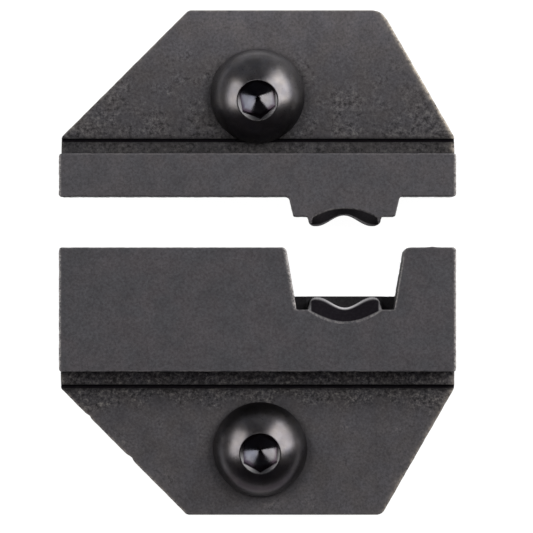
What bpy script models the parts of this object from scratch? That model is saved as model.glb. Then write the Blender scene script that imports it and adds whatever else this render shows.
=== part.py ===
"""Crimping die set: two blackened steel halves, each with its button-head socket screw.

The set lies open on its backs. +X runs along the bars, +Y from the lower half to the
upper one and +Z out of the front faces. Lengths are in metres, and the origin is at the
middle of the set on the plane of the bars' backs.

Each half is one solid: a thick bar that carries the working edge, and a thinner tang with
sloping flanks behind it. Across a half, u runs along +X and v runs from the working face
toward the end of the tang, so the same outline rules serve both halves.
"""
import math

import bmesh
import bpy
from mathutils import Matrix, Vector

# Bars.
BAR_WIDTH = 0.0380
BAR_DEPTH = 0.0100
UPPER_BAR_HEIGHT = 0.00412
LOWER_BAR_HEIGHT = 0.01190
BAR_CORNER_RADIUS = 0.00030
EDGE_BREAK = 0.00013

# Tangs, behind the bars and half as thick.
TANG_THICKNESS = 0.0050
TANG_HEIGHT = 0.01374
TANG_SIDE_INSET = 0.00012
TANG_SIDE_HEIGHT = 0.00160
TANG_END_LEFT = 0.00666
TANG_END_RIGHT = 0.01193
TANG_END_LEFT_RADIUS = 0.00050
UPPER_TANG_END_RIGHT_RADIUS = 0.00170
LOWER_TANG_END_RIGHT_RADIUS = 0.00080
TANG_FLANK_RADIUS = 0.00040
TANG_ROOT = 0.00060

# Relief line sawn along both faces of each tang, next to the shoulder.
UPPER_RELIEF_OFFSET = 0.00126
LOWER_RELIEF_OFFSET = 0.00142
RELIEF_WIDTH = 0.00034
RELIEF_DEPTH = 0.00040

# Distance between the two working faces with the set open, and what is left when shut.
OPEN_DISTANCE = 0.00488

# Guide notch of the lower half and tongue of the upper one.
NEST_CENTRE = 0.00835
NOTCH_DEPTH = 0.00596
NOTCH_FLOOR_WIDTH = 0.00926
NOTCH_WALL_ANGLE = math.radians(9.7)
NOTCH_LEFT_RADIUS = 0.00048
NOTCH_RIGHT_RADIUS = 0.00077
NOTCH_FLOOR_RADIUS = 0.00014
TONGUE_CLEARANCE = 0.00036
TONGUE_EXTRA_TAPER = math.radians(3.3)
TONGUE_HEIGHT = 0.00195
TONGUE_ROOT_RADIUS = 0.00034
TONGUE_TIP_RADIUS = 0.00022

# Crimp profile: two rounded humps with a valley between them, the same on both halves.
NEST_HALF_WIDTH = 0.00356
NEST_SIDE_DRAFT = 0.00009
HUMP_OFFSET = 0.00267
HUMP_CORNER_RADIUS = 0.00050
UPPER_HUMP_HEIGHT = 0.00086
UPPER_VALLEY_DEPTH = 0.00103
LOWER_HUMP_HEIGHT = 0.00119
LOWER_VALLEY_DEPTH = 0.00100

# Bell mouth at the front of the profile, which opens to a plain arc in the front face.
MOUTH_DEPTH = 0.00130
UPPER_MOUTH_SAGITTA = 0.00085
LOWER_MOUTH_SAGITTA = 0.00125
MOUTH_SECTIONS = 5

# Stop ledge across the back of the lower notch.
LEDGE_DEPTH = 0.00200
LEDGE_OVER_HUMPS = 0.00005
LEDGE_DRAFT = 0.00008

# Button-head screws, 3/16 inch class, with a hexagon socket.
SCREW_DIAMETER = 0.00480
SCREW_LENGTH = 0.00635
SCREW_TIP_CHAMFER = 0.00050
HEAD_DIAMETER = 0.00917
HEAD_HEIGHT = 0.00257
HEAD_RIM_HEIGHT = 0.00022
HEAD_TOP_DIAMETER = 0.00410
HEAD_FILLET = 0.00010
SOCKET_ACROSS_FLATS = 0.003175
SOCKET_DEPTH = 0.00150
SOCKET_DRILL_MARGIN = 0.00004
SOCKET_CONE_ANGLE = math.radians(21)
SOCKET_MOUTH_WIDTH = 0.00036
SOCKET_MOUTH_ANGLE = math.radians(42)
UPPER_SCREW_ACROSS = 0.0
UPPER_SCREW_HEIGHT = 0.00554
LOWER_SCREW_ACROSS = 0.00025
LOWER_SCREW_HEIGHT = 0.00742
UPPER_SOCKET_TURN = math.radians(9)
LOWER_SOCKET_TURN = math.radians(1)

# Clearances.
SCREW_HOLE_CLEARANCE = 0.00025
SCREW_SEAT_GAP = 0.00020
HOLE_MOUTH_CHAMFER = 0.00020

# Fineness of the curves, and how far a cutter passes the surface it opens.
ARC_STEPS = 6
VALLEY_STEPS = 14
ROUND_SEGMENTS = 48
CUT_OVERRUN = 0.0010

OVERALL_HEIGHT = (2 * TANG_HEIGHT + UPPER_BAR_HEIGHT + OPEN_DISTANCE + LOWER_BAR_HEIGHT)
UPPER_FACE_Y = OVERALL_HEIGHT / 2 - TANG_HEIGHT - UPPER_BAR_HEIGHT
LOWER_FACE_Y = UPPER_FACE_Y - OPEN_DISTANCE
TANG_BACK_Z = (BAR_DEPTH - TANG_THICKNESS) / 2
TANG_FRONT_Z = TANG_BACK_Z + TANG_THICKNESS
NOTCH_TOP_WIDTH = NOTCH_FLOOR_WIDTH + 2 * NOTCH_DEPTH * math.tan(NOTCH_WALL_ANGLE)


def clear_scene():
    for item in list(bpy.data.objects):
        bpy.data.objects.remove(item, do_unlink=True)


def make_material(name, colour, roughness, metallic):
    material = bpy.data.materials.new(name)
    material.use_nodes = True
    shader = material.node_tree.nodes["Principled BSDF"]
    shader.inputs["Base Color"].default_value = (*colour, 1.0)
    shader.inputs["Roughness"].default_value = roughness
    shader.inputs["Metallic"].default_value = metallic
    material.diffuse_color = (*colour, 1.0)
    return material


def fillet(before, corner, after, radius, steps):
    """Arc of the radius that touches both straight sides of a corner."""
    corner = Vector(corner)
    to_before = (Vector(before) - corner)
    to_after = (Vector(after) - corner)
    opening = to_before.angle(to_after)
    shortest = min(to_before.length, to_after.length)
    tangent = min(radius / math.tan(opening / 2), 0.45 * shortest)
    used = tangent * math.tan(opening / 2)
    start = corner + to_before.normalized() * tangent
    end = corner + to_after.normalized() * tangent
    toward = (to_before.normalized() + to_after.normalized()).normalized()
    centre = corner + toward * (used / math.sin(opening / 2))
    first = (start - centre)
    sweep = first.angle_signed(end - centre)
    points = []
    for step in range(steps + 1):
        turn = -sweep * step / steps
        turned = Matrix.Rotation(turn, 2) @ first
        points.append(centre + turned)
    return points


def rounded_chain(corners, steps):
    """Chain of (u, v, radius) corners with every inner corner rounded by its radius."""
    points = []
    for index in range(1, len(corners) - 1):
        before = corners[index - 1][:2]
        after = corners[index + 1][:2]
        points += fillet(before, corners[index][:2], after, corners[index][2], steps)
    return points


def inset_outline(points, distance):
    """Closed outline moved inward, each point along the mean normal of its two sides."""
    area = 0.0
    for a, b in zip(points, points[1:] + points[:1]):
        area += a.x * b.y - b.x * a.y
    side = 1.0 if area > 0 else -1.0
    moved = []
    for index, point in enumerate(points):
        one = (point - points[index - 1]).normalized()
        two = (points[(index + 1) % len(points)] - point).normalized()
        inward_one = Vector((-one.y, one.x)) * side
        inward_two = Vector((-two.y, two.x)) * side
        mean = (inward_one + inward_two).normalized()
        moved.append(point + mean * (distance / max(mean.dot(inward_one), 0.6)))
    return moved


def loft(sections):
    """Closed mesh through loops of equal length: a list of (loop of 3D points) in order."""
    mesh = bmesh.new()
    rings = [[mesh.verts.new(point) for point in loop] for loop in sections]
    for lower, upper in zip(rings, rings[1:]):
        count = len(lower)
        for i in range(count):
            j = (i + 1) % count
            mesh.faces.new((lower[i], lower[j], upper[j], upper[i]))
    mesh.faces.new(rings[0])
    mesh.faces.new(rings[-1])
    bmesh.ops.recalc_face_normals(mesh, faces=mesh.faces)
    return mesh


def turned(profile, segments):
    """Closed solid of revolution about Z from (radius, z) points, with both ends on the axis."""
    mesh = bmesh.new()
    start = mesh.verts.new((0.0, 0.0, profile[0][1]))
    end = mesh.verts.new((0.0, 0.0, profile[-1][1]))
    rings = []
    for radius, z in profile[1:-1]:
        ring = []
        for index in range(segments):
            angle = 2 * math.pi * index / segments
            ring.append(mesh.verts.new((radius * math.cos(angle), radius * math.sin(angle), z)))
        rings.append(ring)
    for one, two in zip(rings, rings[1:]):
        for i in range(segments):
            j = (i + 1) % segments
            mesh.faces.new((one[i], one[j], two[j], two[i]))
    for i in range(segments):
        j = (i + 1) % segments
        mesh.faces.new((start, rings[0][j], rings[0][i]))
        mesh.faces.new((end, rings[-1][i], rings[-1][j]))
    bmesh.ops.recalc_face_normals(mesh, faces=mesh.faces)
    return mesh


def add_object(name, mesh, material=None):
    data = bpy.data.meshes.new(name)
    mesh.to_mesh(data)
    mesh.free()
    item = bpy.data.objects.new(name, data)
    bpy.context.scene.collection.objects.link(item)
    if material:
        data.materials.append(material)
        data.shade_smooth()
        data.set_sharp_from_angle(angle=math.radians(28))
    return item


def add_cutter(name, mesh, parent):
    cutter = add_object(name, mesh)
    cutter.hide_render = True
    cutter.display_type = "WIRE"
    cutter.parent = parent
    return cutter


def add_boolean(item, operation, other):
    modifier = item.modifiers.new(other.name, "BOOLEAN")
    modifier.operation = operation
    modifier.solver = "EXACT"
    modifier.object = other


def hump_profile(height, valley):
    """Crimp profile as (u, height over the flat) points, from one foot to the other.

    A drafted side, a rounded outer corner and a short crest lead to a cosine valley.
    """
    shoulder = NEST_HALF_WIDTH - NEST_SIDE_DRAFT
    half = [(NEST_HALF_WIDTH, 0.0)]
    for step in range(ARC_STEPS + 1):
        angle = math.radians(90) * step / ARC_STEPS
        across = shoulder - HUMP_CORNER_RADIUS * (1 - math.cos(angle))
        up = height - HUMP_CORNER_RADIUS * (1 - math.sin(angle))
        half.append((across, up))
    for step in range(VALLEY_STEPS):
        across = HUMP_OFFSET * (1 - step / VALLEY_STEPS)
        dip = valley * (0.5 + 0.5 * math.cos(math.pi * across / HUMP_OFFSET))
        half.append((across, height - dip))
    left = [(-across, up) for across, up in half]
    middle = [(0.0, height - valley)]
    return left + middle + half[::-1]


def mouth_arc(across, sagitta):
    """Depth of the mouth's circular arc below the flat, for a place across the nest."""
    radius = (NEST_HALF_WIDTH ** 2 + sagitta ** 2) / (2 * sagitta)
    return math.sqrt(radius ** 2 - across ** 2) - (radius - sagitta)


def nest_points(z, flat_v, out, height, valley, sagitta):
    """Crimp profile at a depth, as (u, v). The profile opens to the mouth's arc at the front.

    out is the v direction in which the humps stand out of the flat.
    """
    mouth_start = BAR_DEPTH - MOUTH_DEPTH
    share = min(max((z - mouth_start) / MOUTH_DEPTH, 0.0), 1.0)
    blend = share ** 1.25
    points = []
    for across, up in hump_profile(height, valley):
        arc = -mouth_arc(across, sagitta)
        mixed = up * (1 - blend) + arc * blend
        points.append(Vector((NEST_CENTRE + across, flat_v + out * mixed)))
    return points


def upper_outline(z):
    """Bar of the upper half with its tongue, whose tip carries the crimp profile."""
    half = BAR_WIDTH / 2
    taper = math.tan(NOTCH_WALL_ANGLE + TONGUE_EXTRA_TAPER)
    root = NOTCH_TOP_WIDTH / 2 - TONGUE_CLEARANCE
    tip = root - TONGUE_HEIGHT * taper
    flat = -TONGUE_HEIGHT
    left = [
        (half, UPPER_BAR_HEIGHT, 0.0),
        (-half, UPPER_BAR_HEIGHT, BAR_CORNER_RADIUS),
        (-half, 0.0, BAR_CORNER_RADIUS),
        (NEST_CENTRE - root, 0.0, TONGUE_ROOT_RADIUS),
        (NEST_CENTRE - tip, flat, TONGUE_TIP_RADIUS),
        (NEST_CENTRE, flat, 0.0),
    ]
    right = [
        (NEST_CENTRE, flat, 0.0),
        (NEST_CENTRE + tip, flat, TONGUE_TIP_RADIUS),
        (NEST_CENTRE + root, 0.0, TONGUE_ROOT_RADIUS),
        (half, 0.0, BAR_CORNER_RADIUS),
        (half, UPPER_BAR_HEIGHT, BAR_CORNER_RADIUS),
        (-half, UPPER_BAR_HEIGHT, 0.0),
    ]
    nest = nest_points(z, flat, -1.0, UPPER_HUMP_HEIGHT, UPPER_VALLEY_DEPTH,
                       UPPER_MOUTH_SAGITTA)
    return rounded_chain(left, ARC_STEPS) + nest + rounded_chain(right, ARC_STEPS)


def lower_outline(z, on_ledge):
    """Bar of the lower half with its notch. Behind, the notch floor rises to the ledge."""
    half = BAR_WIDTH / 2
    slope = math.tan(NOTCH_WALL_ANGLE)
    ledge_v = NOTCH_DEPTH - LOWER_HUMP_HEIGHT - LEDGE_OVER_HUMPS
    floor_v = ledge_v if on_ledge else NOTCH_DEPTH
    top = NOTCH_TOP_WIDTH / 2
    bottom = top - floor_v * slope
    left = [
        (half, LOWER_BAR_HEIGHT, 0.0),
        (-half, LOWER_BAR_HEIGHT, BAR_CORNER_RADIUS),
        (-half, 0.0, BAR_CORNER_RADIUS),
        (NEST_CENTRE - top, 0.0, NOTCH_LEFT_RADIUS),
        (NEST_CENTRE - bottom, floor_v, NOTCH_FLOOR_RADIUS),
        (NEST_CENTRE, floor_v, 0.0),
    ]
    right = [
        (NEST_CENTRE, floor_v, 0.0),
        (NEST_CENTRE + bottom, floor_v, NOTCH_FLOOR_RADIUS),
        (NEST_CENTRE + top, 0.0, NOTCH_RIGHT_RADIUS),
        (half, 0.0, BAR_CORNER_RADIUS),
        (half, LOWER_BAR_HEIGHT, BAR_CORNER_RADIUS),
        (-half, LOWER_BAR_HEIGHT, 0.0),
    ]
    nest = nest_points(z, floor_v, -1.0, LOWER_HUMP_HEIGHT, LOWER_VALLEY_DEPTH,
                       LOWER_MOUTH_SAGITTA)
    if on_ledge:
        nest = [Vector((point.x, ledge_v)) for point in nest]
    return rounded_chain(left, ARC_STEPS) + nest + rounded_chain(right, ARC_STEPS)


def mouth_levels():
    """Heights of the sections through the bell mouth, up to the broken front edge."""
    start = BAR_DEPTH - MOUTH_DEPTH
    end = BAR_DEPTH - EDGE_BREAK
    return [start + (end - start) * step / MOUTH_SECTIONS for step in range(MOUTH_SECTIONS + 1)]


def upper_bar_sections():
    sections = [(0.0, inset_outline(upper_outline(0.0), EDGE_BREAK))]
    sections.append((EDGE_BREAK, upper_outline(EDGE_BREAK)))
    for z in mouth_levels():
        sections.append((z, upper_outline(z)))
    sections.append((BAR_DEPTH, inset_outline(upper_outline(BAR_DEPTH), EDGE_BREAK)))
    return sections


def lower_bar_sections():
    sections = [(0.0, inset_outline(lower_outline(0.0, True), EDGE_BREAK))]
    sections.append((EDGE_BREAK, lower_outline(EDGE_BREAK, True)))
    sections.append((LEDGE_DEPTH, lower_outline(LEDGE_DEPTH, True)))
    front_of_ledge = LEDGE_DEPTH + LEDGE_DRAFT
    sections.append((front_of_ledge, lower_outline(front_of_ledge, False)))
    for z in mouth_levels():
        sections.append((z, lower_outline(z, False)))
    sections.append((BAR_DEPTH, inset_outline(lower_outline(BAR_DEPTH, False), EDGE_BREAK)))
    return sections


def tang_sections(bar_height, end_right_radius):
    """Tang plate, rooted inside the bar, with broken edges front and back."""
    half = BAR_WIDTH / 2 - TANG_SIDE_INSET
    side = bar_height + TANG_SIDE_HEIGHT
    end = bar_height + TANG_HEIGHT
    root = bar_height - TANG_ROOT
    corners = [
        (-half, root),
        (half, root),
        (half, side, TANG_FLANK_RADIUS),
        (TANG_END_RIGHT, end, end_right_radius),
        (-TANG_END_LEFT, end, TANG_END_LEFT_RADIUS),
        (-half, side, TANG_FLANK_RADIUS),
        (-half, root),
    ]
    outline = [Vector(corners[0])] + [Vector(corners[1])] + rounded_chain(corners[1:], ARC_STEPS)
    thin = inset_outline(outline, EDGE_BREAK)
    return [
        (TANG_BACK_Z, thin),
        (TANG_BACK_Z + EDGE_BREAK, outline),
        (TANG_FRONT_Z - EDGE_BREAK, outline),
        (TANG_FRONT_Z, thin),
    ]


def place_sections(sections, direction):
    """Sections of (z, outline) as 3D loops, with v along +Y (1) or -Y (-1)."""
    loops = []
    for z, outline in sections:
        loops.append([Vector((point.x, direction * point.y, z)) for point in outline])
    return loops


def relief_mesh(v, direction, face_z, inward):
    """Round-bottomed bar that cuts one relief line, from past one side to past the other."""
    half = BAR_WIDTH / 2 + CUT_OVERRUN
    radius = RELIEF_WIDTH / 2
    section = [(-radius, -inward * CUT_OVERRUN)]
    for step in range(ARC_STEPS + 1):
        angle = math.pi * step / ARC_STEPS
        across = -radius * math.cos(angle)
        depth = RELIEF_DEPTH - radius + radius * math.sin(angle)
        section.append((across, inward * depth))
    section.append((radius, -inward * CUT_OVERRUN))
    loops = []
    for x in (-half, half):
        loop = []
        for across, down in section:
            loop.append(Vector((x, direction * (v + across), face_z + down)))
        loops.append(loop)
    return loft(loops)


def hole_mesh(x, y):
    """Screw hole through the tang, with a small chamfer at each mouth."""
    radius = SCREW_DIAMETER / 2 + SCREW_HOLE_CLEARANCE
    wide = radius + HOLE_MOUTH_CHAMFER
    profile = [
        (0.0, TANG_BACK_Z - CUT_OVERRUN),
        (wide, TANG_BACK_Z - CUT_OVERRUN),
        (wide, TANG_BACK_Z),
        (radius, TANG_BACK_Z + HOLE_MOUTH_CHAMFER),
        (radius, TANG_FRONT_Z - HOLE_MOUTH_CHAMFER),
        (wide, TANG_FRONT_Z),
        (wide, TANG_FRONT_Z + CUT_OVERRUN),
        (0.0, TANG_FRONT_Z + CUT_OVERRUN),
    ]
    mesh = turned(profile, ROUND_SEGMENTS)
    bmesh.ops.translate(mesh, verts=mesh.verts, vec=(x, y, 0.0))
    return mesh


def make_die(name, sections, bar_height, face_y, direction, end_right_radius, relief_offset,
             screw_across, screw_height, material):
    """One half: bar and tang joined, then the relief lines and the screw hole cut."""
    die = add_object(name, loft(place_sections(sections, direction)), material)
    die.location = (0.0, face_y, 0.0)
    plate = tang_sections(bar_height, end_right_radius)
    tang = add_cutter(name + "_tang_form", loft(place_sections(plate, direction)), die)
    add_boolean(die, "UNION", tang)
    relief_v = bar_height + relief_offset
    front = add_cutter(name + "_front_relief", relief_mesh(relief_v, direction, TANG_FRONT_Z, -1.0), die)
    back = add_cutter(name + "_back_relief", relief_mesh(relief_v, direction, TANG_BACK_Z, 1.0), die)
    screw_y = direction * (bar_height + screw_height)
    hole = add_cutter(name + "_screw_hole", hole_mesh(screw_across, screw_y), die)
    for cutter in (front, back, hole):
        add_boolean(die, "DIFFERENCE", cutter)
    return die


def screw_profile():
    """Turned shape of a screw about its axis, with z = 0 at the bearing face of the head."""
    rim = HEAD_DIAMETER / 2
    flat = HEAD_TOP_DIAMETER / 2
    rise = HEAD_HEIGHT - HEAD_RIM_HEIGHT
    dome = (rise ** 2 + rim ** 2 - flat ** 2) / (2 * rise)
    centre_z = HEAD_HEIGHT - dome
    sphere = math.sqrt(dome ** 2 + flat ** 2)
    first = math.atan2(dome, flat)
    last = math.atan2(HEAD_RIM_HEIGHT - centre_z, rim)
    profile = [(0.0, HEAD_HEIGHT), (flat * 0.96, HEAD_HEIGHT)]
    dome_steps = 2 * ARC_STEPS
    for step in range(dome_steps + 1):
        angle = first + (last - first) * step / dome_steps
        profile.append((sphere * math.cos(angle), centre_z + sphere * math.sin(angle)))
    edge = min(HEAD_FILLET, HEAD_RIM_HEIGHT / 2)
    radius = SCREW_DIAMETER / 2
    profile += [
        (rim, edge),
        (rim - edge, 0.0),
        (min(radius + edge, rim - 2 * edge), 0.0),
        (radius, -edge),
        (radius, SCREW_TIP_CHAMFER - SCREW_LENGTH),
        (radius - SCREW_TIP_CHAMFER, -SCREW_LENGTH),
        (0.0, -SCREW_LENGTH),
    ]
    return profile


def hexagon_mesh():
    """Hexagon prism of the socket, from above the head down to the socket's floor."""
    corner = SOCKET_ACROSS_FLATS / math.sqrt(3)
    loops = []
    for z in (HEAD_HEIGHT - SOCKET_DEPTH, HEAD_HEIGHT + CUT_OVERRUN):
        loop = []
        for index in range(6):
            angle = math.radians(90 + 60 * index)
            loop.append(Vector((corner * math.cos(angle), corner * math.sin(angle), z)))
        loops.append(loop)
    return loft(loops)


def socket_drill_mesh():
    """Drilled middle of the socket, with its cone below and the chamfered mouth above."""
    drill = SOCKET_ACROSS_FLATS / 2 - SOCKET_DRILL_MARGIN
    floor = HEAD_HEIGHT - SOCKET_DEPTH
    slope = math.tan(SOCKET_MOUTH_ANGLE)
    profile = [
        (0.0, HEAD_HEIGHT + CUT_OVERRUN),
        (drill + SOCKET_MOUTH_WIDTH + CUT_OVERRUN / slope, HEAD_HEIGHT + CUT_OVERRUN),
        (drill + SOCKET_MOUTH_WIDTH, HEAD_HEIGHT),
        (drill, HEAD_HEIGHT - SOCKET_MOUTH_WIDTH * slope),
        (drill, floor),
        (0.0, floor - drill * math.tan(SOCKET_CONE_ANGLE)),
    ]
    return turned(profile, ROUND_SEGMENTS)


def make_screw(name, die, across, y, turn, material):
    """Button-head screw in a die's hole, its head just clear of the tang's front face."""
    screw = add_object(name, turned(screw_profile(), ROUND_SEGMENTS), material)
    hexagon = add_cutter(name + "_socket_hexagon", hexagon_mesh(), screw)
    drill = add_cutter(name + "_socket_drill", socket_drill_mesh(), screw)
    add_boolean(screw, "DIFFERENCE", hexagon)
    add_boolean(screw, "DIFFERENCE", drill)
    screw.parent = die
    screw.location = (across, y, TANG_FRONT_Z + SCREW_SEAT_GAP)
    screw.rotation_euler = (0.0, 0.0, turn)
    return screw


clear_scene()

upper_steel = make_material("upper_die_steel", (0.078, 0.074, 0.080), 0.52, 0.85)
lower_steel = make_material("lower_die_steel", (0.072, 0.069, 0.074), 0.52, 0.85)
upper_screw_steel = make_material("upper_screw_steel", (0.040, 0.038, 0.042), 0.34, 0.90)
lower_screw_steel = make_material("lower_screw_steel", (0.040, 0.038, 0.042), 0.34, 0.90)

upper_die = make_die("upper_die", upper_bar_sections(), UPPER_BAR_HEIGHT, UPPER_FACE_Y, 1.0,
                     UPPER_TANG_END_RIGHT_RADIUS, UPPER_RELIEF_OFFSET, UPPER_SCREW_ACROSS,
                     UPPER_SCREW_HEIGHT, upper_steel)
lower_die = make_die("lower_die", lower_bar_sections(), LOWER_BAR_HEIGHT, LOWER_FACE_Y, -1.0,
                     LOWER_TANG_END_RIGHT_RADIUS, LOWER_RELIEF_OFFSET, LOWER_SCREW_ACROSS,
                     LOWER_SCREW_HEIGHT, lower_steel)
make_screw("upper_screw", upper_die, UPPER_SCREW_ACROSS,
           UPPER_BAR_HEIGHT + UPPER_SCREW_HEIGHT, UPPER_SOCKET_TURN, upper_screw_steel)
make_screw("lower_screw", lower_die, LOWER_SCREW_ACROSS,
           -(LOWER_BAR_HEIGHT + LOWER_SCREW_HEIGHT), LOWER_SOCKET_TURN, lower_screw_steel)
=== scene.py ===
"""Crimping die set: two blackened steel halves lying open, each with a button-head screw.

Every size is in metres. +X runs along the bars, +Y from the lower half to the upper one and
+Z out of the front faces. The set lies with the bars' backs on z = 0.
"""

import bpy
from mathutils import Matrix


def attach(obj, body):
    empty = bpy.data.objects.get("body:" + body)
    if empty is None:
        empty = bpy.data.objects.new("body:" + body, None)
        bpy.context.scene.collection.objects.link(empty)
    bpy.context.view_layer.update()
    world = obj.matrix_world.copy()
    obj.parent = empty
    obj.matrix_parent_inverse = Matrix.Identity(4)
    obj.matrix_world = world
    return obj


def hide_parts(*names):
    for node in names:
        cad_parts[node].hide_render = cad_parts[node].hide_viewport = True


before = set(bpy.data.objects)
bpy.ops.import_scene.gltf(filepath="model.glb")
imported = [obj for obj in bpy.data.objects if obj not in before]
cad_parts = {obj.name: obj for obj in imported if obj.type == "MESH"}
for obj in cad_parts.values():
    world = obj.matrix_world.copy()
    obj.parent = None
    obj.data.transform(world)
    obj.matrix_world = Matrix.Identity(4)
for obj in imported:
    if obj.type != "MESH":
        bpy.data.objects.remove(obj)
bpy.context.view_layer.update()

import math

import bmesh
import bpy
import numpy as np
from mathutils import Vector

# Lower bar.
# The real piece is one block of tool steel, ground flat on its faces and wire-cut along the
# working edge, then blackened. Its notch guides the upper half's tongue, and the crimp nest
# stands on the notch's floor.
bar_width, bar_depth = 0.0380, 0.0100
bar_half = bar_width / 2
bar_corner_radius = 0.00030
lower_face_y = 0.00145
lower_bar_height = 0.01190
nest_centre = 0.00835
notch_depth = 0.00596
notch_floor_width = 0.00926
notch_wall_slope = math.tan(math.radians(9.7))
notch_top_width = notch_floor_width + 2 * notch_depth * notch_wall_slope
left_wall_in, right_wall_out = 0.00003, 0.00007
nest_half_width = 0.00356
hump_offset = 0.00267
lower_hump_height = 0.00119
ledge_depth = 0.00200
ledge_below_face = notch_depth - lower_hump_height - 0.00005
mouth_depth = 0.00130
mouth_start = bar_depth - mouth_depth
edge_radius = 0.00013
edge_ring = 0.00002
crease_angle = math.radians(34)
arc_points, nest_run_points = 9, 6


def corner_arc(before, corner, after, radius):
    """Arc that touches both sides of a corner.

    The touching points lie radius / tan(half the corner's angle) from the corner, but never
    past 0.45 of the shorter side, and the centre lies on the corner's bisector. The arc is the
    spherical blend of the two radii that meet those points.
    """
    before, corner, after = (np.array(p[:2], float) for p in (before, corner, after))
    a, b = before - corner, after - corner
    shortest = min(np.hypot(*a), np.hypot(*b))
    a, b = a / np.hypot(*a), b / np.hypot(*b)
    angle = math.acos(float(np.clip(a @ b, -1, 1)))
    reach = min(radius / math.tan(angle / 2), 0.45 * shortest)
    used = reach * math.tan(angle / 2)
    middle = (a + b) / np.hypot(*(a + b))
    centre = corner + middle * used / math.sin(angle / 2)
    start, end = corner + a * reach - centre, corner + b * reach - centre
    sweep = math.pi - angle
    t = np.linspace(0, 1, arc_points)[:, None]
    return centre + (start * np.sin((1 - t) * sweep) + end * np.sin(t * sweep)) / math.sin(sweep)


def hump_profile(height, valley, radius, draft):
    """Crimp profile, (across, up): drafted side, quarter-round corner, flat crest, then a valley
    that falls as half a cosine wave to the middle. The other half is its mirror image."""
    shoulder = nest_half_width - draft
    side = np.linspace([nest_half_width, 0], [shoulder, height - radius], 5)
    turn = np.linspace(0, math.pi / 2, 13)[1:]
    corner = np.stack([shoulder - radius * (1 - np.cos(turn)),
                       height - radius * (1 - np.sin(turn))], 1)
    crest_end = hump_offset - 0.00001
    across = np.linspace(shoulder - radius, crest_end, 4)[1:]
    crest = np.stack([across, np.full_like(across, height)], 1)
    across = np.linspace(crest_end, 0, 40)[1:]
    dip = valley * (0.5 + 0.5 * np.cos(np.pi * across / hump_offset))
    slope = np.stack([across, height - dip], 1)
    half = np.concatenate([side, corner, crest, slope])
    return np.concatenate([half * [-1, 1], half[-2::-1]])


def way_out(z):
    """How far through the mouth a depth lies, from 0 where it starts to 1 at the bar's front."""
    return np.clip((z - mouth_start) / (bar_depth - mouth_start), 0, 1)


def nest_line(z, flat, profile, half, rise, power, keep):
    """Crimp profile at depth z, blended over the mouth into an arch below the flat.

    The arch's depth at a place across is its rise times 1 - (across / half) ^ power. The outer
    part of the profile, beyond keep, stays as it is, with a smooth step between the two.
    """
    step = 0.00012
    across = np.abs(profile[:, 0])
    arch = -rise * (1 - (across / half) ** power)
    inner = np.clip((keep + step - across) / (2 * step), 0, 1)
    share = way_out(z) ** 1.25 * inner * inner * (3 - 2 * inner)
    up = profile[:, 1] * (1 - share) + arch * share
    return np.stack([nest_centre + profile[:, 0], flat - up], 1)


def chain(corners, nest, counts):
    """Closed outline and its nest mark: corner arcs joined by straight runs, with the nest's
    points let into the run from the fourth corner to the fifth. Each run has a fixed count of
    points, so that every section matches the next. The mark is 1 on the nest's points."""
    arcs = []
    for index, corner in enumerate(corners):
        before = corners[index - 1]
        after = corners[(index + 1) % len(corners)]
        if index == 3:
            after = (nest_centre, corner[1])
        if index == 4:
            before = (nest_centre, corner[1])
        arcs.append(corner_arc(before, corner, after, corner[2]))
    pieces = []
    for index, arc in enumerate(arcs):
        follower = arcs[(index + 1) % len(arcs)][0]
        pieces.append((arc, 0.0))
        if index == 3:
            ends = nest_run_points + 2
            pieces.append((np.linspace(arc[-1], nest[0], ends)[1:-1], 0.0))
            pieces.append((nest, 1.0))
            pieces.append((np.linspace(nest[-1], follower, ends)[1:-1], 0.0))
        else:
            pieces.append((np.linspace(arc[-1], follower, counts[index] + 2)[1:-1], 0.0))
    return (np.concatenate([points for points, _ in pieces]),
            np.concatenate([np.full(len(points), mark) for points, mark in pieces]))


def moved_in(outline, distance):
    """Outline moved inward by a distance, one number or one for each point, along the normal
    taken square to the line from the point before to the point after. At a corner it moves
    farther, so that the sides keep the distance, up to 1.5 times."""
    ahead, behind = np.roll(outline, -1, 0), np.roll(outline, 1, 0)
    area = np.sum(outline[:, 0] * ahead[:, 1] - ahead[:, 0] * outline[:, 1])
    one, two = outline - behind, ahead - outline
    one /= np.hypot(*one.T)[:, None] + 1e-12
    two /= np.hypot(*two.T)[:, None] + 1e-12
    normals = np.stack([-(one + two)[:, 1], (one + two)[:, 0]], 1) * np.sign(area)
    size = np.hypot(*normals.T)[:, None]
    normals /= size
    stretch = np.minimum(2 / size, 1.5)
    return outline + normals * stretch * np.reshape(distance, (-1, 1))


def ripple(outline, seed, wavelengths, amplitude):
    """Smooth unevenness along an outline: sine waves of its arc length, with seeded phases,
    squared up to lie between 0 and the amplitude."""
    steps = np.hypot(*(np.roll(outline, -1, 0) - outline).T)
    length = steps.sum()
    place = np.concatenate([[0], np.cumsum(steps)[:-1]])
    phases = np.random.default_rng(seed).uniform(0, 2 * np.pi, len(wavelengths))
    total = np.zeros(len(outline))
    for wavelength, phase in zip(wavelengths, phases):
        turns = max(1, round(length / wavelength))
        total += np.sin(2 * np.pi * turns * place / length + phase)
    return amplitude * (0.5 + 0.5 * total / len(wavelengths)) ** 2


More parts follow.
